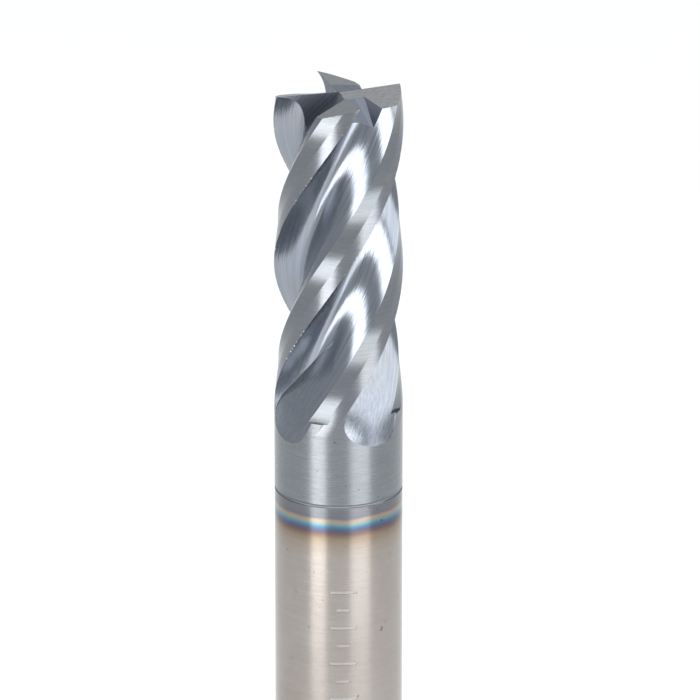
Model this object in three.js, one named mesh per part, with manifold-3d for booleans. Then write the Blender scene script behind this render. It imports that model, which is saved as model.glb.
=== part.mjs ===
// A four-flute square end mill, 1/4 inch by 3 inches: a carbide cutting head whose spigot is
// brazed into a socket in a steel shank.
// Millimetres. +Z is the axis, from the shank's end face at z = 0 up to the cutting tip.
// Turning anticlockwise seen from the tip cuts, so each tooth leads at its larger angle.
import * as THREE from "three";
import { mergeVertices } from "three/addons/utils/BufferGeometryUtils.js";
import Module from "manifold-3d";

const wasm = await Module();
wasm.setup();

// Driving dimensions.
const INCH = 25.4;
const CUT_RADIUS = INCH / 8;
const OVERALL_LENGTH = 3 * INCH;
const TEETH = 4;
const HELIX_ANGLE = rad(34.2);
const FIRST_TOOTH_ANGLE = rad(19.5);
const NECK_RADIUS = CUT_RADIUS;
const BLANK_RADIUS = CUT_RADIUS + 0.02;
const SHANK_RADIUS = CUT_RADIUS - 0.005;
const HEAD_LENGTH = 20.65;
const TURNED_SEGMENTS = 60;

// The flute and the lands, as seen in a slice across the axis. Angles are measured from the
// tooth's cutting edge: ahead of it into the flute, or back from it over the land.
const RAKE_ANGLE = rad(-3.5);
const HEEL_ANGLE = rad(28.5);
const HEEL_RADIUS = 0.935 * CUT_RADIUS;
const MARGIN_ANGLE = rad(12);
const MARGIN_RADIUS = 0.967 * CUT_RADIUS;
const RAKE_REACH = 2.6;
const BACK_WALL_LEAN = rad(-54);
const BACK_WALL_REACH = 1.65;
const PAST_HEEL = 0.12;
const FLUTE_POINTS = 10;
const RELIEF_POINTS = 3;
const RELIEF_OVERLAP = 0.15;
const CUTTER_OUTER_RADIUS = CUT_RADIUS + 0.7;

// Distances down from the tip.
const ABOVE_TIP = -1;
const MARGIN_END = 16.9;
const MARGIN_FADE = 1.4;
const SECOND_RELIEF_END = 16.3;
const RAMP_START = 12.4;
const RAMP_FULL = 17.2;
const RAMP_OPENS_AT = 0.6;
const RAMP_HOLLOW = 0.06;
const TONGUE_START = 14.7;
const FLUTE_END = 17.6;
const TONGUE_LEAN = rad(24);
const TONGUE_STEPS = 9;
const STEP_LENGTH = 0.6;

// The end teeth.
const DISH_ANGLE = rad(2);
const END_RELIEF = rad(16);
const EDGE_OVERLAP = 0.02;
const GASH_STARTS = [0, 0.5];
const GASH_START_DEPTH = 0.03;
const GASH_FLOOR_WIDTH = 1.1;
const GASH_FLOOR_SLOPE = rad(40);
const GASH_BACK_WALL_SLOPE = rad(52);
const CLEAR = 4;

// The brazed joint.
const SPIGOT_RADIUS = 1.6;
const SPIGOT_LENGTH = 6;
const SPIGOT_CHAMFER = 0.3;
const FILLER_THICKNESS = 0.1;
const FILLER_RECESS = 0.03;
const BOND_GAP = 0.01;
const SOCKET_EXTRA_DEPTH = 0.4;
const DRILL_POINT_SLOPE = rad(31);
const SHANK_CHAMFER = 0.5;

const JOINT_Z = OVERALL_LENGTH - HEAD_LENGTH;
const SOCKET_RADIUS = SPIGOT_RADIUS + FILLER_THICKNESS + 2 * BOND_GAP;
const TWIST_PER_MM = Math.tan(HELIX_ANGLE) / CUT_RADIUS;
const TOOTH_PITCH = (2 * Math.PI) / TEETH;
const AXIS = new THREE.Vector2(0, 0);

function rad(degrees) {
  return THREE.MathUtils.degToRad(degrees);
}

function polar(radius, angle) {
  return new THREE.Vector2(radius * Math.cos(angle), radius * Math.sin(angle));
}

// A closed geometry as a solid that can be cut.
function solidOf(geometry) {
  const bare = geometry.index ? geometry.toNonIndexed() : geometry.clone();
  bare.deleteAttribute("normal");
  bare.deleteAttribute("uv");
  const merged = mergeVertices(bare, 1e-5);
  return new wasm.Manifold(
    new wasm.Mesh({
      numProp: 3,
      vertProperties: merged.attributes.position.array,
      triVerts: new Uint32Array(merged.index.array),
    }),
  );
}

function geometryOf(solid) {
  const mesh = solid.getMesh();
  return new THREE.BufferGeometry()
    .setAttribute("position", new THREE.BufferAttribute(mesh.vertProperties, 3))
    .setIndex(new THREE.BufferAttribute(mesh.triVerts, 1));
}

// A turned body: its profile is [radius, z] points, from the axis round to the axis again.
function turned(profile) {
  const points = profile.map(([radius, z]) => new THREE.Vector2(radius, z));
  return new THREE.LatheGeometry(points, TURNED_SEGMENTS).rotateX(Math.PI / 2);
}

// A closed body through outlines of equal length, each a list of points, from the lowest up.
function lofted(outlines) {
  const count = outlines[0].length;
  const last = (outlines.length - 1) * count;
  const flat = outlines[0].map((p) => new THREE.Vector2(p.x, p.y));
  const index = [];
  for (const [a, b, c] of THREE.ShapeUtils.triangulateShape(flat, [])) {
    index.push(c, b, a, last + a, last + b, last + c);
  }
  for (let row = 0; row < last; row += count) {
    for (let i = 0; i < count; i++) {
      const next = (i + 1) % count;
      index.push(row + i, row + next, row + count + next);
      index.push(row + i, row + count + next, row + count + i);
    }
  }
  return new THREE.BufferGeometry().setFromPoints(outlines.flat()).setIndex(index);
}

// Depths of the slices through a cut: even steps, the last one shortened to end where the cut does.
function evenDepths(end) {
  const depths = [];
  for (let depth = ABOVE_TIP; depth < end; depth += STEP_LENGTH) {
    depths.push(depth);
  }
  return [...depths, end];
}

// Lays the flat outline of each slice along the helix.
function helical(depths, outlineAt) {
  return lofted(
    depths.toReversed().map((depth) =>
      outlineAt(depth).map((p) => {
        const q = p.clone().rotateAround(AXIS, -depth * TWIST_PER_MM);
        return new THREE.Vector3(q.x, q.y, OVERALL_LENGTH - depth);
      }),
    ),
  );
}

// The flute's face in a slice, from the cutting edge down to the core, up to the heel of the
// tooth ahead and a little beyond it.
function fluteFace() {
  const edge = new THREE.Vector2(CUT_RADIUS, 0);
  const rake = new THREE.Vector2(-Math.cos(RAKE_ANGLE), -Math.sin(RAKE_ANGLE));
  const heel = polar(HEEL_RADIUS, TOOTH_PITCH - HEEL_ANGLE);
  const wall = polar(1, TOOTH_PITCH - HEEL_ANGLE - BACK_WALL_LEAN);
  return new THREE.CubicBezierCurve(
    edge,
    edge.clone().addScaledVector(rake, RAKE_REACH),
    heel.clone().addScaledVector(wall, -BACK_WALL_REACH),
    heel.clone().addScaledVector(wall, PAST_HEEL),
  );
}

// The ramp by which the wheel leaves the work: a hollow line bridging the flute. It opens in
// the middle of the face and reaches the cutting edge and the heel at its foot.
function rampedFace(depth) {
  const face = fluteFace();
  const closed = 1 - share(depth, RAMP_START, RAMP_FULL);
  const leave = RAMP_OPENS_AT * closed ** 2;
  const rejoin = 1 - (1 - RAMP_OPENS_AT) * closed ** 3;
  const points = [];
  for (let i = 0; i <= FLUTE_POINTS; i++) {
    const t = i / FLUTE_POINTS;
    if (t <= leave || t >= rejoin) {
      points.push(face.getPoint(t));
      continue;
    }
    const onward = (t - leave) / (rejoin - leave);
    const bridge = face.getPoint(leave).lerp(face.getPoint(rejoin), onward);
    const hollow = 1 - (RAMP_HOLLOW / CUT_RADIUS) * 4 * onward * (1 - onward);
    points.push(bridge.multiplyScalar(hollow));
  }
  return points;
}

// The space that the flute wheel clears, in a slice: the face, then out over the tooth ahead.
// At the foot of the ramp it narrows, and grows shallow, to a rounded tongue.
function fluteOutlineAt(depth) {
  const narrowing = share(depth, TONGUE_START, FLUTE_END);
  const width = Math.sqrt(1 - narrowing ** 4);
  const shallower = (narrowing ** 2 * (3 - narrowing)) / 2;
  const heel = TOOTH_PITCH - HEEL_ANGLE;
  const middle = heel / 2;
  const outline = [
    polar(CUTTER_OUTER_RADIUS, 0),
    ...rampedFace(depth),
    polar(CUTTER_OUTER_RADIUS, heel),
    polar(CUTTER_OUTER_RADIUS, middle),
  ];
  return outline.reverse().map((p) => {
    const angle = Math.atan2(p.y, p.x);
    const sunk = Math.max(NECK_RADIUS - p.length(), 0);
    const radius = p.length() + sunk * shallower;
    return polar(radius, middle + (angle - middle) * width + TONGUE_LEAN * narrowing ** 3);
  });
}

function fluteCutter() {
  const depths = evenDepths(TONGUE_START);
  for (let i = 1; i <= TONGUE_STEPS; i++) {
    const onward = Math.sin((i / TONGUE_STEPS) * (Math.PI / 2));
    depths.push(THREE.MathUtils.lerp(TONGUE_START, FLUTE_END, onward));
  }
  return helical(depths, fluteOutlineAt);
}

// How far a value has gone from a start to an end, kept just short of the whole.
function share(value, start, end) {
  return THREE.MathUtils.clamp((value - start) / (end - start), 0, 0.998);
}

// Closes an outline from the points of a cut's floor, going out and over them.
function closedOver(floor) {
  return [
    ...floor,
    polar(CUTTER_OUTER_RADIUS, floor.at(-1).angle()),
    polar(CUTTER_OUTER_RADIUS, floor[0].angle()),
  ];
}

// The first relief, back from the cutting edge: rounded like the blank, it dies out at its end.
function marginCutter() {
  return helical(evenDepths(MARGIN_END), (depth) => {
    const fade = share(depth, MARGIN_END - MARGIN_FADE, MARGIN_END) ** 2;
    const floor = [];
    for (let i = 0; i <= RELIEF_POINTS; i++) {
      const along = THREE.MathUtils.lerp(-RELIEF_OVERLAP, 1 + RELIEF_OVERLAP, i / RELIEF_POINTS);
      const fall = (CUT_RADIUS - MARGIN_RADIUS) * (1 - fade) * along;
      floor.push(polar(CUT_RADIUS - fall, -MARGIN_ANGLE * along));
    }
    return closedOver(floor);
  });
}

// The second relief, ground flat from the back of the margin to the heel.
function secondReliefCutter() {
  const back = polar(MARGIN_RADIUS, -MARGIN_ANGLE);
  const heel = polar(HEEL_RADIUS, -HEEL_ANGLE);
  const outline = closedOver([
    back.clone().lerp(heel, -RELIEF_OVERLAP),
    back.clone().lerp(heel, 1 + RELIEF_OVERLAP),
  ]);
  return helical(evenDepths(SECOND_RELIEF_END), () => outline);
}

// Sets a flat outline (across the tooth, up) at the centre, to run out along the end tooth.
function alongTooth(shape, reach, rise) {
  const placed = new THREE.Matrix4().makeBasis(
    new THREE.Vector3(0, 1, 0),
    new THREE.Vector3(0, 0, 1),
    new THREE.Vector3(1, 0, rise),
  );
  placed.setPosition(0, 0, OVERALL_LENGTH - CUT_RADIUS * Math.tan(DISH_ANGLE));
  return extruded(shape, reach).applyMatrix4(placed);
}

// Clears above an end tooth: one flat, over a quarter of the end, that falls away behind the edge.
function endReliefCutter() {
  const shape = new THREE.Shape([
    new THREE.Vector2(EDGE_OVERLAP, CLEAR),
    new THREE.Vector2(EDGE_OVERLAP, 0),
    new THREE.Vector2(0, 0),
    new THREE.Vector2(-CLEAR, -CLEAR * Math.tan(END_RELIEF)),
    new THREE.Vector2(-CLEAR, CLEAR),
  ]);
  return alongTooth(shape, CLEAR, Math.tan(DISH_ANGLE));
}

// The gash ahead of an end tooth: an upright wall under the edge, a flat floor that runs down
// and out into the flute, and a sloping wall on the side of the tooth ahead.
function gashCutter(start) {
  const shape = new THREE.Shape([
    new THREE.Vector2(-EDGE_OVERLAP, 0),
    new THREE.Vector2(GASH_FLOOR_WIDTH, 0),
    new THREE.Vector2(GASH_FLOOR_WIDTH + CLEAR / Math.tan(GASH_BACK_WALL_SLOPE), CLEAR),
    new THREE.Vector2(-EDGE_OVERLAP, CLEAR),
  ]);
  const fall = -Math.tan(GASH_FLOOR_SLOPE);
  return alongTooth(shape, CLEAR, fall).translate(start, 0, -GASH_START_DEPTH);
}

function extruded(shape, depth) {
  return new THREE.ExtrudeGeometry(shape, { depth, bevelEnabled: false });
}

// The head as the grinder leaves it: a turned blank, cut tooth by tooth.
function cuttingHead() {
  let head = solidOf(
    turned([
      [0, JOINT_Z - SPIGOT_LENGTH],
      [SPIGOT_RADIUS - SPIGOT_CHAMFER, JOINT_Z - SPIGOT_LENGTH],
      [SPIGOT_RADIUS, JOINT_Z - SPIGOT_LENGTH + SPIGOT_CHAMFER],
      [SPIGOT_RADIUS, JOINT_Z + FILLER_THICKNESS + BOND_GAP],
      [NECK_RADIUS, JOINT_Z + FILLER_THICKNESS + BOND_GAP],
      [NECK_RADIUS, OVERALL_LENGTH - TONGUE_START],
      [BLANK_RADIUS, OVERALL_LENGTH - TONGUE_START],
      [BLANK_RADIUS, OVERALL_LENGTH],
      [0, OVERALL_LENGTH],
    ]),
  );
  const passes = [fluteCutter(), marginCutter(), secondReliefCutter(), endReliefCutter()];
  for (let tooth = 0; tooth < TEETH; tooth++) {
    const gash = gashCutter(GASH_STARTS[tooth % 2]);
    for (const pass of [...passes, gash]) {
      const turn = FIRST_TOOTH_ANGLE + tooth * TOOTH_PITCH;
      head = head.subtract(solidOf(pass.clone().rotateZ(turn)));
    }
  }
  return geometryOf(head);
}

// The braze filler: a washer between the faces and a sleeve round the spigot.
function brazeFiller() {
  const inner = SPIGOT_RADIUS + BOND_GAP;
  const outer = inner + FILLER_THICKNESS;
  const low = JOINT_Z - SPIGOT_LENGTH + SPIGOT_CHAMFER;
  return turned([
    [inner, low],
    [outer, low],
    [outer, JOINT_Z + BOND_GAP],
    [SHANK_RADIUS - FILLER_RECESS, JOINT_Z + BOND_GAP],
    [SHANK_RADIUS - FILLER_RECESS, JOINT_Z + FILLER_THICKNESS],
    [inner, JOINT_Z + FILLER_THICKNESS],
    [inner, low],
  ]);
}

function shank() {
  const socketFloor = JOINT_Z - SPIGOT_LENGTH - SOCKET_EXTRA_DEPTH;
  return turned([
    [0, 0],
    [SHANK_RADIUS - SHANK_CHAMFER, 0],
    [SHANK_RADIUS, SHANK_CHAMFER],
    [SHANK_RADIUS, JOINT_Z],
    [SOCKET_RADIUS, JOINT_Z],
    [SOCKET_RADIUS, socketFloor],
    [0, socketFloor - SOCKET_RADIUS * Math.tan(DRILL_POINT_SLOPE)],
  ]);
}

const carbide = new THREE.MeshStandardMaterial({ color: 0x8a929b, roughness: 0.3, metalness: 1 });
const silverSolder = new THREE.MeshStandardMaterial({ color: 0x74777b, roughness: 0.5, metalness: 1 });
const steel = new THREE.MeshStandardMaterial({ color: 0xaeaaa4, roughness: 0.35, metalness: 1 });

function named(name, geometry, material) {
  const mesh = new THREE.Mesh(geometry, material);
  mesh.name = name;
  return mesh;
}

const endMill = new THREE.Group();
endMill.add(named("cutting_head", cuttingHead(), carbide));
endMill.add(named("braze_filler", brazeFiller(), silverSolder));
endMill.add(named("shank", shank(), steel));

export default endMill;
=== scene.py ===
import math

import bmesh
import bpy
import numpy as np
from mathutils import Matrix, Vector


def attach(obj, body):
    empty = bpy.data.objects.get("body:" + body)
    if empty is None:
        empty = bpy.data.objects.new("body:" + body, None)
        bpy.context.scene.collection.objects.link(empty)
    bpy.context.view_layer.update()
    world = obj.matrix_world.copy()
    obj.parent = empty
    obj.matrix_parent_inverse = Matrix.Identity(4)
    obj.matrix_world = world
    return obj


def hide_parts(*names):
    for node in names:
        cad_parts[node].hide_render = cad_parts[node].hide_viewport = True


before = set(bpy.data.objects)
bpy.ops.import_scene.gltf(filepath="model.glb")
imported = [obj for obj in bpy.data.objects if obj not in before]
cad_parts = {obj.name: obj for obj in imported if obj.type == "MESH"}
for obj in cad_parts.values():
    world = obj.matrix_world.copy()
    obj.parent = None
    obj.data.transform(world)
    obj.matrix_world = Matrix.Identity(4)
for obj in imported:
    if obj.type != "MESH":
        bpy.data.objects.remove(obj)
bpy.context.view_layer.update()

# A brazed-tip end mill, standing on its shank's end face with the cutting tip up.
# Shapes are worked out in millimetres and scaled to metres at the end.
MM = 0.001

# ---------------------------------------------------------------- driving dimensions
INCH = 25.4
CUT_RADIUS = INCH / 8
OVERALL_LENGTH = 3 * INCH
TEETH = 4
TOOTH_PITCH = 2 * math.pi / TEETH
HELIX_ANGLE = math.radians(34.2)
FIRST_TOOTH_ANGLE = math.radians(19.5)
BLANK_RADIUS = CUT_RADIUS + 0.02
SHANK_RADIUS = CUT_RADIUS - 0.005
HEAD_LENGTH = 20.65
JOINT_Z = OVERALL_LENGTH - HEAD_LENGTH
TWIST_PER_MM = math.tan(HELIX_ANGLE) / CUT_RADIUS

# Flute and lands in a slice across the axis, by angle from the cutting edge.
RAKE_ANGLE = math.radians(-3.5)
MARGIN_ANGLE = math.radians(12)
MARGIN_RADIUS = 0.967 * CUT_RADIUS
HEEL_ANGLE = math.radians(28.5)
HEEL_RADIUS = 0.935 * CUT_RADIUS
RAKE_REACH = 2.6
BACK_WALL_LEAN = math.radians(-54)
BACK_WALL_REACH = 1.65
PAST_HEEL = 0.12
FLUTE_POINTS = 40
RELIEF_POINTS = 12
RELIEF_OVERLAP = 0.15
CUTTER_OUTER_RADIUS = CUT_RADIUS + 0.7
JUST_SHORT = 0.998
TINY = 1e-9

# Distances down from the tip.
ABOVE_TIP = -1
RAMP_START = 12.4
RAMP_FULL = 17.2
RAMP_OPENS_AT = 0.6
RAMP_HOLLOW = 0.06
CREASE_APART = 0.05
TONGUE_START = 14.7
FLUTE_END = 17.6
TONGUE_LEAN = math.radians(24)
TONGUE_STEPS = 28
MARGIN_END = 16.9
MARGIN_FADE = 1.4
SECOND_RELIEF_END = 16.3
STEP = 0.12

# The end teeth.
DISH = math.tan(math.radians(2))
END_RELIEF = math.tan(math.radians(16))
EDGE_OVERLAP = 0.02
GASH_STARTS = (0, 0.5)
GASH_START_DEPTH = 0.03
GASH_FLOOR_WIDTH = 1.1
GASH_FLOOR_SLOPE = math.radians(40)
GASH_BACK_WALL_SLOPE = math.radians(52)
CLEAR = 4

# The brazed joint and the shank.
SPIGOT_RADIUS = 1.6
SPIGOT_LENGTH = 6
SPIGOT_CHAMFER = 0.3
FILLER_THICKNESS = 0.1
FILLER_RECESS = 0.03
BOND_GAP = 0.01
EDGE_BREAK = 0.03
SOCKET_EXTRA_DEPTH = 0.4
SOCKET_RADIUS = SPIGOT_RADIUS + FILLER_THICKNESS + 2 * BOND_GAP
DRILL_POINT_SLOPE = math.radians(31)
SHANK_CHAMFER = 0.5
MENISCUS = 0.015
TURNED_SEGMENTS = 240

# A plain engraved scale on the shank: ticks across it, every second one short.
TICKS = 10
TICK_SPACING = 0.95
TICK_LENGTH = 1.35
SHORT_TICK = 0.5
TICK_POINTS = 13
TICK_WIDTH = 0.15
TICK_DEPTH = 0.03
FIRST_TICK_BELOW_JOINT = 4.5
TICK_ANGLE = math.radians(-86)

# Small chips along the cutting edges. The odds of one grow down the edge and in patches.
CHIP_SPACING = 0.21
CHIP_STRAY = 0.08
CHIP_SIZES = (0.025, 0.06)
CHIP_LENGTHENED = 1.1
CHIP_SEED = 4
FIRST_CHIP = 0.4
LAST_CHIP = 13.6
CHIP_ODDS = 0.25
MORE_DOWN_THE_EDGE = 0.4
MORE_IN_A_PATCH = 0.3
PATCH_RADIANS_PER_MM = 2.1
PATCH_SHIFT_BY_TOOTH = 2

# Shading: how sharp a crease stays sharp, and what counts as a turned, outward-facing surface.
HEAD_CREASE = math.radians(14)
FILLER_CREASE = math.radians(30)
SHANK_CREASE = math.radians(25)
ROUND_WITHIN = 0.001
OUTWARD_ENOUGH = 0.9995

# The stage, in millimetres: light panels round the head, aimed at one height up the tool.
LIT_HEIGHT = 68
LIGHT_DISTANCE = 110
FLOOR_BELOW = 0.01

# The stage, in metres, and its even light.
FLOOR_SIZE = 6
OVERHEAD_SIZE = 1.6
OVERHEAD_HEIGHT = 1.2
OVERHEAD_WATTS = 9.0
ROOM_COLOUR = (0.94, 0.985, 1.02, 1.0)
ROOM_BRIGHTNESS = 0.7

# The camera, fitted to the tool's outline. Its distance is only loosely fixed by it.
CAMERA_TILT = math.radians(20.2)
CAMERA_DISTANCE = 396
CAMERA_AIM = (0.566, 0, 62.7)
SENSOR_WIDTH = 36
FOCAL_LENGTH = 413


# ---------------------------------------------------------------- shapes
def polar(radius, angle):
    return np.array([radius * math.cos(angle), radius * math.sin(angle)])


def share(value, start, end):
    """How far a value has gone from a start to an end, kept just short of the whole."""
    return min(max((value - start) / (end - start), 0), JUST_SHORT)


def mesh_object(name, points, faces, materials=()):
    mesh = bpy.data.meshes.new(name)
    mesh.from_pydata([tuple(map(float, p)) for p in points], [], faces)
    for material in materials:
        mesh.materials.append(material)
    obj = bpy.data.objects.new(name, mesh)
    bpy.context.scene.collection.objects.link(obj)
    return obj


def turned(name, profile, materials=()):
    """A turned body from a list of (radius, height), axis to axis, or a closed ring."""
    points = []
    rings = []
    for radius, z in profile:
        if radius == 0:
            rings.append([len(points)])
            points.append((0, 0, z))
            continue
        rings.append(list(range(len(points), len(points) + TURNED_SEGMENTS)))
        for i in range(TURNED_SEGMENTS):
            x, y = polar(radius, 2 * math.pi * i / TURNED_SEGMENTS)
            points.append((x, y, z))
    pairs = list(zip(rings, rings[1:]))
    if len(rings[0]) > 1:
        pairs.append((rings[-1], rings[0]))
    faces = []
    for low, high in pairs:
        for i in range(TURNED_SEGMENTS):
            j = (i + 1) % TURNED_SEGMENTS
            corners = [low[i % len(low)], low[j % len(low)], high[j % len(high)], high[i % len(high)]]
            faces.append(list(dict.fromkeys(corners)))
    return mesh_object(name, points, faces, materials)


def lofted(name, outlines):
    """A closed body through outlines of equal length, from the lowest up."""
    count = len(outlines[0])
    last = (len(outlines) - 1) * count
    faces = [list(range(count))[::-1], list(range(last, last + count))]
    for row in range(0, last, count):
        for i in range(count):
            j = (i + 1) % count
            faces.append([row + i, row + j, row + count + j, row + count + i])
    return mesh_object(name, np.concatenate(outlines), faces)


def even_depths(end):
    return [*np.arange(ABOVE_TIP, end, STEP), end]


def helical(name, depths, outline_at):
    """Lays the flat outline of each slice along the helix."""
    outlines = []
    for depth in reversed(depths):
        turn = -depth * TWIST_PER_MM
        cos, sin = math.cos(turn), math.sin(turn)
        flat = outline_at(depth)
        x = flat[:, 0] * cos - flat[:, 1] * sin
        y = flat[:, 0] * sin + flat[:, 1] * cos
        outlines.append(np.column_stack([x, y, np.full(len(x), OVERALL_LENGTH - depth)]))
    return lofted(name, outlines)


def flute_face(t):
    """A curve in a slice: from the cutting edge down to the core, and up past the heel."""
    edge = np.array([CUT_RADIUS, 0.0])
    rake = -polar(1, RAKE_ANGLE)
    heel = polar(HEEL_RADIUS, TOOTH_PITCH - HEEL_ANGLE)
    wall = polar(1, TOOTH_PITCH - HEEL_ANGLE - BACK_WALL_LEAN)
    pulls = [edge, edge + rake * RAKE_REACH, heel - wall * BACK_WALL_REACH, heel + wall * PAST_HEEL]
    t = np.asarray(t, float)[:, None]
    weights = [(1 - t) ** 3, 3 * (1 - t) ** 2 * t, 3 * (1 - t) * t**2, t**3]
    return sum(w * p for w, p in zip(weights, pulls))


def points_along(leave, rejoin):
    """Where the points of a slice lie along the face, with one on each crease of the ramp."""
    first = min(max(leave, CREASE_APART), RAMP_OPENS_AT - CREASE_APART)
    second = min(max(rejoin, RAMP_OPENS_AT + CREASE_APART), 1 - CREASE_APART)
    below = np.linspace(0, first, FLUTE_POINTS // 2, endpoint=False)
    across = np.linspace(first, second, FLUTE_POINTS // 3, endpoint=False)
    return np.concatenate([below, across, np.linspace(second, 1, FLUTE_POINTS // 4)])


def flute_outline_at(depth):
    """The wheel leaves on a ramp that opens in mid-face and ends in a rounded tongue."""
    closed = 1 - share(depth, RAMP_START, RAMP_FULL)
    leave = RAMP_OPENS_AT * closed**2
    rejoin = 1 - (1 - RAMP_OPENS_AT) * closed**3
    t = points_along(leave, rejoin)
    onward = np.clip((t - leave) / (rejoin - leave + TINY), 0, 1)[:, None]
    off, on = flute_face([leave, rejoin])
    on_ramp = (t > leave) & (t < rejoin)
    face = np.where(on_ramp[:, None], off + (on - off) * onward, flute_face(t))
    face *= 1 - RAMP_HOLLOW / CUT_RADIUS * 4 * onward * (1 - onward)
    radius = np.hypot(face[:, 0], face[:, 1])
    angle = np.arctan2(face[:, 1], face[:, 0])
    land = TOOTH_PITCH - HEEL_ANGLE
    radius = np.append(radius, [CUTTER_OUTER_RADIUS] * 3)
    angle = np.append(angle, [land, land / 2, 0])
    narrowing = share(depth, TONGUE_START, FLUTE_END)
    width = math.sqrt(1 - narrowing**4)
    shallower = CUT_RADIUS - (CUT_RADIUS - radius) * (1 - narrowing**2 * (3 - narrowing) / 2)
    radius = np.where(radius < CUT_RADIUS, shallower, radius)
    angle = land / 2 + (angle - land / 2) * width + TONGUE_LEAN * narrowing**3
    return np.column_stack([radius * np.cos(angle), radius * np.sin(angle)])[::-1]


def flute_cutter():
    depths = even_depths(TONGUE_START)
    for i in range(1, TONGUE_STEPS + 1):
        onward = math.sin(i / TONGUE_STEPS * math.pi / 2)
        depths.append(TONGUE_START + (FLUTE_END - TONGUE_START) * onward)
    return helical("flute_cutter", depths, flute_outline_at)


def closed_over(inner):
    """An outline from the points of a cut's floor, closed well outside the blank."""
    ends = [math.atan2(inner[i][1], inner[i][0]) for i in (-1, 0)]
    return np.vstack([inner, [polar(CUTTER_OUTER_RADIUS, a) for a in ends]])


def margin_cutter():
    """The first relief, rounded like the blank, that dies out before the shank."""
    along = np.linspace(-RELIEF_OVERLAP, 1 + RELIEF_OVERLAP, RELIEF_POINTS)

    def outline_at(depth):
        fade = share(depth, MARGIN_END - MARGIN_FADE, MARGIN_END) ** 2
        fall = (CUT_RADIUS - MARGIN_RADIUS) * (1 - fade)
        radius = CUT_RADIUS - fall * along
        angle = -MARGIN_ANGLE * along
        return closed_over(np.column_stack([radius * np.cos(angle), radius * np.sin(angle)]))

    return helical("margin_cutter", even_depths(MARGIN_END), outline_at)


def second_relief_cutter():
    """The second relief, ground flat from the back of the margin to the heel."""
    back = polar(MARGIN_RADIUS, -MARGIN_ANGLE)
    heel = polar(HEEL_RADIUS, -HEEL_ANGLE)
    along = np.array([-RELIEF_OVERLAP, 1 + RELIEF_OVERLAP])[:, None]
    outline = closed_over(back + (heel - back) * along)
    return helical("second_relief_cutter", even_depths(SECOND_RELIEF_END), lambda depth: outline)


def along_tooth(name, shape, rise, start=0, lower=0):
    """Runs an outline (across the tooth, up) out along the end tooth at a slope."""
    centre_z = OVERALL_LENGTH - CUT_RADIUS * DISH - lower
    ends = []
    for reach in (0, CLEAR):
        ends.append([(start + reach, across, centre_z + up + reach * rise) for across, up in shape])
    count = len(shape)
    faces = [list(range(count))[::-1], list(range(count, 2 * count))]
    for i in range(count):
        j = (i + 1) % count
        faces.append([i, j, count + j, count + i])
    return mesh_object(name, ends[0] + ends[1], faces)


def end_relief_cutter():
    shape = [
        (EDGE_OVERLAP, CLEAR),
        (-CLEAR, CLEAR),
        (-CLEAR, -CLEAR * END_RELIEF),
        (0, 0),
        (EDGE_OVERLAP, 0),
    ]
    return along_tooth("end_relief_cutter", shape, DISH)


def gash_cutter(start):
    shape = [
        (-EDGE_OVERLAP, 0),
        (GASH_FLOOR_WIDTH, 0),
        (GASH_FLOOR_WIDTH + CLEAR / math.tan(GASH_BACK_WALL_SLOPE), CLEAR),
        (-EDGE_OVERLAP, CLEAR),
    ]
    return along_tooth("gash_cutter", shape, -math.tan(GASH_FLOOR_SLOPE), start, GASH_START_DEPTH)


def chip_cutter():
    """Grains that bite into the cutting edges in patches, more further down, none touching."""
    random = np.random.default_rng(CHIP_SEED)
    grain = bmesh.new()
    for tooth in range(TEETH):
        for even_depth in np.arange(FIRST_CHIP, LAST_CHIP, CHIP_SPACING):
            patch = math.sin(PATCH_RADIANS_PER_MM * even_depth + PATCH_SHIFT_BY_TOOTH * tooth)
            odds = CHIP_ODDS + MORE_DOWN_THE_EDGE * even_depth / LAST_CHIP + MORE_IN_A_PATCH * patch
            if random.random() > odds:
                continue
            depth = even_depth + CHIP_STRAY * random.random()
            radius = CHIP_SIZES[0] + (CHIP_SIZES[1] - CHIP_SIZES[0]) * random.random() ** 2
            angle = FIRST_TOOTH_ANGLE + tooth * TOOTH_PITCH - depth * TWIST_PER_MM
            x, y = polar(CUT_RADIUS, angle)
            place = Matrix.Translation((x, y, OVERALL_LENGTH - depth))
            turn = Matrix.Rotation(random.random() * math.pi, 4, "X")
            shape = turn @ Matrix.Diagonal((1, 1, CHIP_LENGTHENED, 1))
            bmesh.ops.create_icosphere(grain, subdivisions=1, radius=radius, matrix=place @ shape)
    mesh = bpy.data.meshes.new("chip_cutter")
    grain.to_mesh(mesh)
    grain.free()
    obj = bpy.data.objects.new("chip_cutter", mesh)
    bpy.context.scene.collection.objects.link(obj)
    return obj


def cut_away(body, cutters):
    """Subtracts each (cutter, turn about the axis, material index) from the body."""
    for i, (cutter, turn, index) in enumerate(cutters):
        tool = bpy.data.objects.new(f"cut_{i}", cutter.data.copy())
        tool.data.transform(Matrix.Rotation(turn, 4, "Z"))
        tool.data.polygons.foreach_set("material_index", [index] * len(tool.data.polygons))
        for material in body.data.materials:
            tool.data.materials.append(material)
        bpy.context.scene.collection.objects.link(tool)
        boolean = body.modifiers.new(f"cut_{i}", "BOOLEAN")
        boolean.operation = "DIFFERENCE"
        boolean.solver = "MANIFOLD"
        boolean.object = tool
    graph = bpy.context.evaluated_depsgraph_get()
    cut = bpy.data.meshes.new_from_object(body.evaluated_get(graph))
    for boolean in list(body.modifiers):
        bpy.data.objects.remove(boolean.object)
    body.modifiers.clear()
    body.data = cut


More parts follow.
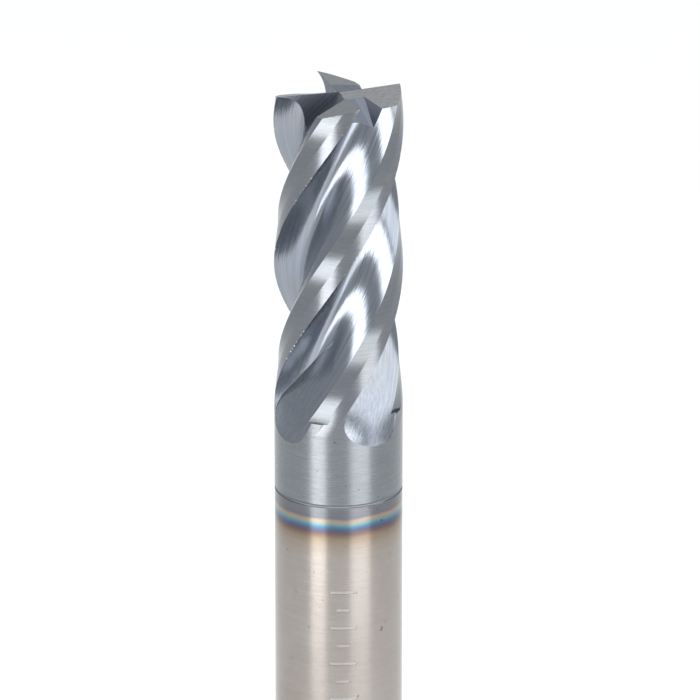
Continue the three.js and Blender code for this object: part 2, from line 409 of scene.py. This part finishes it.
def sharpen_between_materials(mesh):
    """Keeps a crisp ridge wherever two differently ground surfaces meet."""
    material_of = np.zeros(len(mesh.polygons), int)
    mesh.polygons.foreach_get("material_index", material_of)
    edge_of = np.zeros(len(mesh.loops), int)
    mesh.loops.foreach_get("edge_index", edge_of)
    sizes = np.zeros(len(mesh.polygons), int)
    mesh.polygons.foreach_get("loop_total", sizes)
    material = np.repeat(material_of, sizes)
    lowest = np.full(len(mesh.edges), len(mesh.materials))
    highest = np.full(len(mesh.edges), -1)
    np.minimum.at(lowest, edge_of, material)
    np.maximum.at(highest, edge_of, material)
    sharp = np.zeros(len(mesh.edges), bool)
    mesh.edges.foreach_get("use_edge_sharp", sharp)
    mesh.edges.foreach_set("use_edge_sharp", sharp | (lowest != highest))


def round_off(mesh, radii):
    """Gives the turned surfaces of these radii the exact slope of a cylinder."""
    loop_vertex = np.zeros(len(mesh.loops), int)
    mesh.loops.foreach_get("vertex_index", loop_vertex)
    places = np.zeros(3 * len(mesh.vertices))
    mesh.vertices.foreach_get("co", places)
    places = places.reshape(-1, 3)[loop_vertex]
    sizes = np.zeros(len(mesh.polygons), int)
    mesh.polygons.foreach_get("loop_total", sizes)
    facing = np.zeros(3 * len(mesh.polygons))
    mesh.polygons.foreach_get("normal", facing)
    facing = np.repeat(facing.reshape(-1, 3), sizes, axis=0)
    out = places * (1, 1, 0)
    reach = np.linalg.norm(out, axis=1)
    out /= np.maximum(reach, TINY)[:, None]
    on_round = np.min([abs(reach - radius) for radius in radii], axis=0) < ROUND_WITHIN
    turned_face = on_round & ((out * facing).sum(1) > OUTWARD_ENOUGH)
    mesh.normals_split_custom_set(np.where(turned_face[:, None], out, 0).tolist())


def finish_piece(piece, node, crease, radii=()):
    """Scales a piece to metres, shades it smooth up to its creases, and stands it for its node."""
    piece.data.shade_smooth()
    piece.data.set_sharp_from_angle(angle=crease)
    sharpen_between_materials(piece.data)
    if radii:
        round_off(piece.data, radii)
    piece.data.transform(Matrix.Scale(MM, 4))
    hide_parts(node)
    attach(piece, "root")


# ---------------------------------------------------------------- materials
# How close grinding lines lie, in marks to the millimetre across, across and up the tool.
ALONG_THE_FLUTE = (8.0, 8.0, 0.15)
ACROSS_THE_LAND = (0.8, 0.8, 16.0)
FINE_LINES = 2.5


class Shader:
    """A node material, with a short way to add and wire its nodes."""

    def __init__(self, name):
        self.material = bpy.data.materials.new(name)
        self.material.use_nodes = True
        self.tree = self.material.node_tree
        self.surface = self.tree.nodes["Principled BSDF"]

    def add(self, kind, inputs=(), output=0, **settings):
        node = self.tree.nodes.new("ShaderNode" + kind)
        for key, value in settings.items():
            setattr(node, key, value)
        for key, value in dict(inputs).items():
            self.put(node.inputs[key], value)
        return node.outputs[output]

    def put(self, socket, value):
        if isinstance(value, bpy.types.NodeSocket):
            self.tree.links.new(value, socket)
        else:
            socket.default_value = value

    def set(self, **values):
        for key, value in values.items():
            self.put(self.surface.inputs[key.replace("_", " ")], value)

    def millimetres(self):
        place = self.add("TexCoord", output="Object")
        return self.add("VectorMath", {0: place, 1: (1 / MM,) * 3}, operation="MULTIPLY")

    def untwisted(self, place):
        """The place turned back along the helix, so that the flutes run straight up."""
        height = self.add("SeparateXYZ", {0: place}, output=2)
        angle = self.add("Math", {0: height, 1: -TWIST_PER_MM}, operation="MULTIPLY")
        return self.add("VectorRotate", {"Vector": place, "Angle": angle}, rotation_type="Z_AXIS")

    def down_the_gash(self, place):
        """A place that changes only across the lines that run out and down the gash."""
        flat = self.add("VectorMath", {0: place, 1: (1, 1, 0)}, operation="MULTIPLY")
        outward = self.add("VectorMath", {0: flat}, output=1, operation="LENGTH")
        height = self.add("SeparateXYZ", {0: place}, output=2)
        slope = math.tan(GASH_FLOOR_SLOPE)
        across = self.add("Math", {0: outward, 1: slope, 2: height}, operation="MULTIPLY_ADD")
        return self.add("CombineXYZ", {0: across})

    def noise(self, place, stretch, detail=3.0, roughness=0.6):
        scaled = self.add("VectorMath", {0: place, 1: stretch}, operation="MULTIPLY")
        inputs = {"Vector": scaled, "Scale": 1.0, "Detail": detail, "Roughness": roughness}
        return self.add("TexNoise", inputs)

    def span(self, value, low, high, start=0.3, end=0.7):
        inputs = {"Value": value, "From Min": start, "From Max": end, "To Min": low, "To Max": high}
        return self.add("MapRange", inputs)

    def mix(self, factor, a, b, blend="MIX"):
        node = self.tree.nodes.new("ShaderNodeMix")
        node.data_type = "RGBA"
        node.blend_type = blend
        for socket, value in zip([node.inputs[0], node.inputs[6], node.inputs[7]], (factor, a, b)):
            self.put(socket, value)
        return node.outputs[2]

    def bump(self, height, distance_mm, strength=1.0, normal=None):
        inputs = {"Height": height, "Distance": distance_mm * MM, "Strength": strength}
        if normal is not None:
            inputs["Normal"] = normal
        return self.add("Bump", inputs)


def colour(red, green, blue):
    return (red, green, blue, 1.0)


def coated(name, dark, light, marks, rough, height, lay=Shader.untwisted):
    """Ground and coated carbide: lines lie along the lay, stretched by marks, per millimetre."""
    s = Shader(name)
    place = s.millimetres()
    straight = lay(s, place)
    lines = s.noise(straight, marks)
    fine = s.noise(straight, tuple(FINE_LINES * m for m in marks), detail=2.0)
    patches = s.noise(place, (0.9, 0.9, 0.5), detail=2.0)
    tone = s.mix(s.span(lines, 0, 1), dark, light)
    bluish = s.mix(s.span(patches, 0, 0.5), tone, colour(0.9, 0.97, 1.12), blend="MULTIPLY")
    s.set(
        Base_Color=bluish,
        Metallic=1.0,
        Roughness=s.span(fine, *rough),
        Normal=s.bump(fine, height, normal=s.bump(lines, height)),
    )
    return s.material


def flute_surface():
    dark, light = colour(0.2, 0.216, 0.24), colour(0.262, 0.276, 0.295)
    return coated("coated_flute", dark, light, ALONG_THE_FLUTE, (0.13, 0.26), 0.003)


def margin_surface():
    dark, light = colour(0.19, 0.195, 0.205), colour(0.225, 0.23, 0.24)
    return coated("coated_margin", dark, light, ACROSS_THE_LAND, (0.18, 0.28), 0.002)


def second_relief_surface():
    dark, light = colour(0.172, 0.182, 0.19), colour(0.205, 0.215, 0.22)
    return coated("coated_relief", dark, light, ACROSS_THE_LAND, (0.16, 0.26), 0.002)


def end_surface():
    dark, light = colour(0.22, 0.22, 0.217), colour(0.31, 0.302, 0.298)
    return coated("coated_end", dark, light, (3.0, 14.0, 14.0), (0.3, 0.42), 0.0015)


def gash_surface():
    dark, light = colour(0.09, 0.103, 0.13), colour(0.19, 0.203, 0.22)
    lay = Shader.down_the_gash
    return coated("coated_gash", dark, light, (6.0, 6.0, 6.0), (0.3, 0.48), 0.004, lay)


def chipped_edge():
    dark, light = colour(0.15, 0.15, 0.145), colour(0.7, 0.69, 0.65)
    return dull_metal("chipped_edge", dark, light, 0.4)


def specked(s, place, tone):
    """Small dark specks, thinly scattered."""
    grains = s.noise(place, (4.5, 4.5, 4.5), detail=1.0)
    dark_grains = s.span(grains, 0, 1, start=0.74, end=0.78)
    return s.mix(dark_grains, tone, colour(0.5, 0.48, 0.45), blend="MULTIPLY")


def temper_tint(s, below_joint):
    """The colours that the brazing heat left in the steel, by distance below the joint."""
    stops = (
        (0.00, colour(0.175, 0.183, 0.20)),
        (0.55, colour(0.16, 0.165, 0.185)),
        (0.70, colour(0.34, 0.26, 0.21)),
        (0.80, colour(0.27, 0.28, 0.22)),
        (0.91, colour(0.15, 0.26, 0.29)),
        (1.02, colour(0.10, 0.18, 0.26)),
        (1.13, colour(0.085, 0.125, 0.20)),
        (1.24, colour(0.11, 0.10, 0.145)),
        (1.34, colour(0.14, 0.105, 0.115)),
        (1.44, colour(0.18, 0.13, 0.11)),
        (1.65, colour(0.26, 0.20, 0.15)),
        (2.00, colour(0.31, 0.265, 0.225)),
        (2.70, colour(0.345, 0.315, 0.29)),
        (3.20, colour(0.35, 0.32, 0.30)),
    )
    reach = stops[-1][0]
    inputs = {"Value": below_joint, "From Min": 0.0, "From Max": reach}
    node = s.tree.nodes.new("ShaderNodeValToRGB")
    s.put(node.inputs[0], s.add("MapRange", inputs))
    ramp = node.color_ramp
    while len(ramp.elements) < len(stops):
        ramp.elements.new(1.0)
    for element, (distance, tint) in zip(ramp.elements, stops):
        element.position = distance / reach
        element.color = tint
    return node.outputs[0]


def ground_steel():
    """The shank: cylindrically ground, slightly stained, tinted by heat below the joint."""
    s = Shader("ground_steel")
    place = s.millimetres()
    height = s.add("SeparateXYZ", {0: place}, output=2)
    waver = s.span(s.noise(place, (0.5, 0.5, 0.1), detail=1.0), -0.06, 0.06)
    drop = s.add("Math", {0: JOINT_Z, 1: height}, operation="SUBTRACT")
    tint = temper_tint(s, s.add("Math", {0: drop, 1: waver}))
    rings = s.noise(place, (0.25, 0.25, 9.0))
    fine = s.noise(place, (1.2, 1.2, 45.0), detail=2.0)
    stains = s.noise(place, (0.55, 0.55, 0.3), detail=4.0)
    lined = s.mix(s.span(rings, 0, 0.35), tint, colour(0.78, 0.79, 0.78), blend="MULTIPLY")
    stained = s.mix(s.span(stains, 0, 0.5), lined, colour(0.84, 0.80, 0.74), blend="MULTIPLY")
    s.set(
        Base_Color=specked(s, place, stained),
        Metallic=1.0,
        Roughness=s.span(fine, 0.18, 0.28),
        Normal=s.bump(fine, 0.0008, normal=s.bump(rings, 0.001)),
    )
    return s.material


def ground_neck():
    """The head's plain neck: coated like the rest, ground round and round."""
    s = Shader("coated_neck")
    place = s.millimetres()
    rings = s.noise(place, (0.3, 0.3, 10.0))
    fine = s.noise(place, (2.0, 2.0, 40.0), detail=2.0)
    patches = s.noise(place, (1.5, 1.5, 1.5), detail=6.0)
    tone = s.mix(s.span(rings, 0, 1), colour(0.185, 0.198, 0.208), colour(0.215, 0.226, 0.237))
    patched = s.mix(s.span(patches, 0, 0.4), tone, colour(0.9, 0.93, 0.98), blend="MULTIPLY")
    s.set(
        Base_Color=specked(s, place, patched),
        Metallic=1.0,
        Roughness=s.span(fine, 0.2, 0.32),
        Normal=s.bump(fine, 0.0008, normal=s.bump(rings, 0.001)),
    )
    return s.material


def dull_metal(name, dark, light, rough):
    """Solder, engraved steel and chipped edges: matt and grainy."""
    s = Shader(name)
    place = s.millimetres()
    grain = s.noise(place, (30.0, 30.0, 30.0))
    s.set(
        Base_Color=s.mix(s.span(grain, 0, 1), dark, light),
        Metallic=1.0,
        Roughness=s.span(grain, rough - 0.08, rough + 0.08),
        Normal=s.bump(grain, 0.004),
    )
    return s.material


def pale_floor():
    s = Shader("pale_floor")
    place = s.millimetres()
    patches = s.noise(place, (0.02, 0.02, 0.02))
    tone = s.mix(patches, colour(0.9, 0.9, 0.9), colour(0.93, 0.93, 0.93))
    s.set(Base_Color=tone, Roughness=0.9)
    return s.material


# ---------------------------------------------------------------- pieces
def cutting_head():
    surfaces = [
        ground_neck(),
        flute_surface(),
        margin_surface(),
        second_relief_surface(),
        end_surface(),
        gash_surface(),
        chipped_edge(),
    ]
    shoulder = JOINT_Z + FILLER_THICKNESS + BOND_GAP
    head = turned(
        "cutting_head_fine",
        [
            (0, JOINT_Z - SPIGOT_LENGTH),
            (SPIGOT_RADIUS - SPIGOT_CHAMFER, JOINT_Z - SPIGOT_LENGTH),
            (SPIGOT_RADIUS, JOINT_Z - SPIGOT_LENGTH + SPIGOT_CHAMFER),
            (SPIGOT_RADIUS, shoulder),
            (CUT_RADIUS - EDGE_BREAK, shoulder),
            (CUT_RADIUS, shoulder + EDGE_BREAK),
            (CUT_RADIUS, OVERALL_LENGTH - TONGUE_START),
            (BLANK_RADIUS, OVERALL_LENGTH - TONGUE_START),
            (BLANK_RADIUS, OVERALL_LENGTH),
            (0, OVERALL_LENGTH),
        ],
        surfaces,
    )
    passes = [
        (flute_cutter(), 1),
        (margin_cutter(), 2),
        (second_relief_cutter(), 3),
        (end_relief_cutter(), 4),
    ]
    gashes = [gash_cutter(start) for start in GASH_STARTS]
    cutters = []
    for tooth in range(TEETH):
        turn = FIRST_TOOTH_ANGLE + tooth * TOOTH_PITCH
        cutters += [(cutter, turn, index) for cutter, index in passes]
        cutters.append((gashes[tooth % 2], turn, 5))
    chips = chip_cutter()
    cutters.append((chips, 0, 6))
    cut_away(head, cutters)
    for cutter in [c for c, _ in passes] + gashes + [chips]:
        bpy.data.objects.remove(cutter)
    round_radii = (CUT_RADIUS, BLANK_RADIUS)
    finish_piece(head, "cutting_head", HEAD_CREASE, round_radii)


def braze_filler():
    inner = SPIGOT_RADIUS + BOND_GAP
    outer = inner + FILLER_THICKNESS
    low = JOINT_Z - SPIGOT_LENGTH + SPIGOT_CHAMFER
    rim = SHANK_RADIUS - FILLER_RECESS
    profile = [
        (inner, low),
        (outer, low),
        (outer, JOINT_Z + BOND_GAP),
        (rim, JOINT_Z + BOND_GAP),
        (rim - MENISCUS, JOINT_Z + (BOND_GAP + FILLER_THICKNESS) / 2),
        (rim, JOINT_Z + FILLER_THICKNESS),
        (inner, JOINT_Z + FILLER_THICKNESS),
    ]
    dark, light = colour(0.15, 0.155, 0.165), colour(0.24, 0.25, 0.26)
    solder = dull_metal("silver_solder", dark, light, 0.55)
    filler = turned("braze_filler_fine", profile, [solder])
    finish_piece(filler, "braze_filler", FILLER_CREASE)


def tick_cutter(index):
    """One engraved stroke across the shank, its floor following the round."""
    z = JOINT_Z - FIRST_TICK_BELOW_JOINT - index * TICK_SPACING
    length = TICK_LENGTH * (1 if index % 2 == 0 else SHORT_TICK)
    half_turn = length / 2 / SHANK_RADIUS
    outlines = []
    for level in (z - TICK_WIDTH / 2, z + TICK_WIDTH / 2):
        angles = TICK_ANGLE + np.linspace(-half_turn, half_turn, TICK_POINTS)
        floor = [polar(SHANK_RADIUS - TICK_DEPTH, a) for a in angles]
        above = [polar(SHANK_RADIUS + TICK_DEPTH, a) for a in angles[::-1]]
        flat = np.array(above + floor)[::-1]
        outlines.append(np.column_stack([flat, np.full(len(flat), level)]))
    return lofted("tick_cutter", outlines)


def shank():
    socket_floor = JOINT_Z - SPIGOT_LENGTH - SOCKET_EXTRA_DEPTH
    dark, light = colour(0.2, 0.19, 0.18), colour(0.5, 0.475, 0.45)
    engraved = dull_metal("engraved_steel", dark, light, 0.42)
    body = turned(
        "shank_fine",
        [
            (0, 0),
            (SHANK_RADIUS - SHANK_CHAMFER, 0),
            (SHANK_RADIUS, SHANK_CHAMFER),
            (SHANK_RADIUS, JOINT_Z - EDGE_BREAK),
            (SHANK_RADIUS - EDGE_BREAK, JOINT_Z),
            (SOCKET_RADIUS, JOINT_Z),
            (SOCKET_RADIUS, socket_floor),
            (0, socket_floor - SOCKET_RADIUS * math.tan(DRILL_POINT_SLOPE)),
        ],
        [ground_steel(), engraved],
    )
    ticks = [tick_cutter(i) for i in range(TICKS)]
    cut_away(body, [(tick, 0, 1) for tick in ticks])
    for tick in ticks:
        bpy.data.objects.remove(tick)
    finish_piece(body, "shank", SHANK_CREASE, (SHANK_RADIUS,))


# ---------------------------------------------------------------- stage
def softbox(name, azimuth, elevation, width, height, radiance):
    """A light panel seen from the head over a span of angles. Azimuth 0 is in front."""
    distance = LIGHT_DISTANCE * MM
    azimuth, elevation, width, height = map(math.radians, (azimuth, elevation, width, height))
    data = bpy.data.lights.new(name, "AREA")
    data.shape = "RECTANGLE"
    data.size = 2 * distance * math.tan(width / 2)
    data.size_y = 2 * distance * math.tan(height / 2)
    data.energy = math.pi * data.size * data.size_y * radiance
    lamp = bpy.data.objects.new(name, data)
    lamp.visible_camera = False
    outward = Vector((
        math.sin(azimuth) * math.cos(elevation),
        -math.cos(azimuth) * math.cos(elevation),
        math.sin(elevation),
    ))
    lamp.location = Vector((0, 0, LIT_HEIGHT * MM)) + outward * distance
    lamp.rotation_euler = (-outward).to_track_quat("-Z", "Y").to_euler()
    bpy.context.scene.collection.objects.link(lamp)


def stage():
    reach = FLOOR_SIZE / 2
    corners = [(-reach, -reach, 0), (reach, -reach, 0), (reach, reach, 0), (-reach, reach, 0)]
    floor = mesh_object("floor", corners, [[0, 1, 2, 3]], [pale_floor()])
    floor.location.z = -FLOOR_BELOW * MM
    softbox("low_left", -36, -14, 25, 30, 3.4)
    softbox("low_right", 39, -14, 34, 30, 2.2)
    softbox("high_left", -38, 20, 28, 44, 4.4)
    softbox("high_right", 35, 20, 34, 44, 4.4)
    softbox("side_right", 80, 24, 36, 44, 2.2)
    overhead = bpy.data.lights.new("overhead", "AREA")
    overhead.size = OVERHEAD_SIZE
    overhead.energy = OVERHEAD_WATTS
    lamp = bpy.data.objects.new("overhead", overhead)
    lamp.location = (0, 0, OVERHEAD_HEIGHT)
    lamp.visible_camera = False
    bpy.context.scene.collection.objects.link(lamp)
    world = bpy.data.worlds.new("studio")
    world.use_nodes = True
    background = world.node_tree.nodes["Background"]
    background.inputs["Color"].default_value = ROOM_COLOUR
    background.inputs["Strength"].default_value = ROOM_BRIGHTNESS
    bpy.context.scene.world = world
    bpy.context.scene.view_settings.view_transform = "Standard"


def camera():
    """Looks down at the upper part of the tool through a long lens."""
    aim = Vector(CAMERA_AIM) * MM
    back = Vector((0, -math.cos(CAMERA_TILT), math.sin(CAMERA_TILT)))
    data = bpy.data.cameras.new("camera")
    data.sensor_width = SENSOR_WIDTH
    data.lens = FOCAL_LENGTH
    data.clip_start = 0.01
    data.clip_end = 20
    obj = bpy.data.objects.new("camera", data)
    obj.location = aim + back * CAMERA_DISTANCE * MM
    obj.rotation_euler = (math.radians(90) - CAMERA_TILT, 0, 0)
    bpy.context.scene.collection.objects.link(obj)
    bpy.context.scene.camera = obj


cutting_head()
braze_filler()
shank()
stage()
camera()
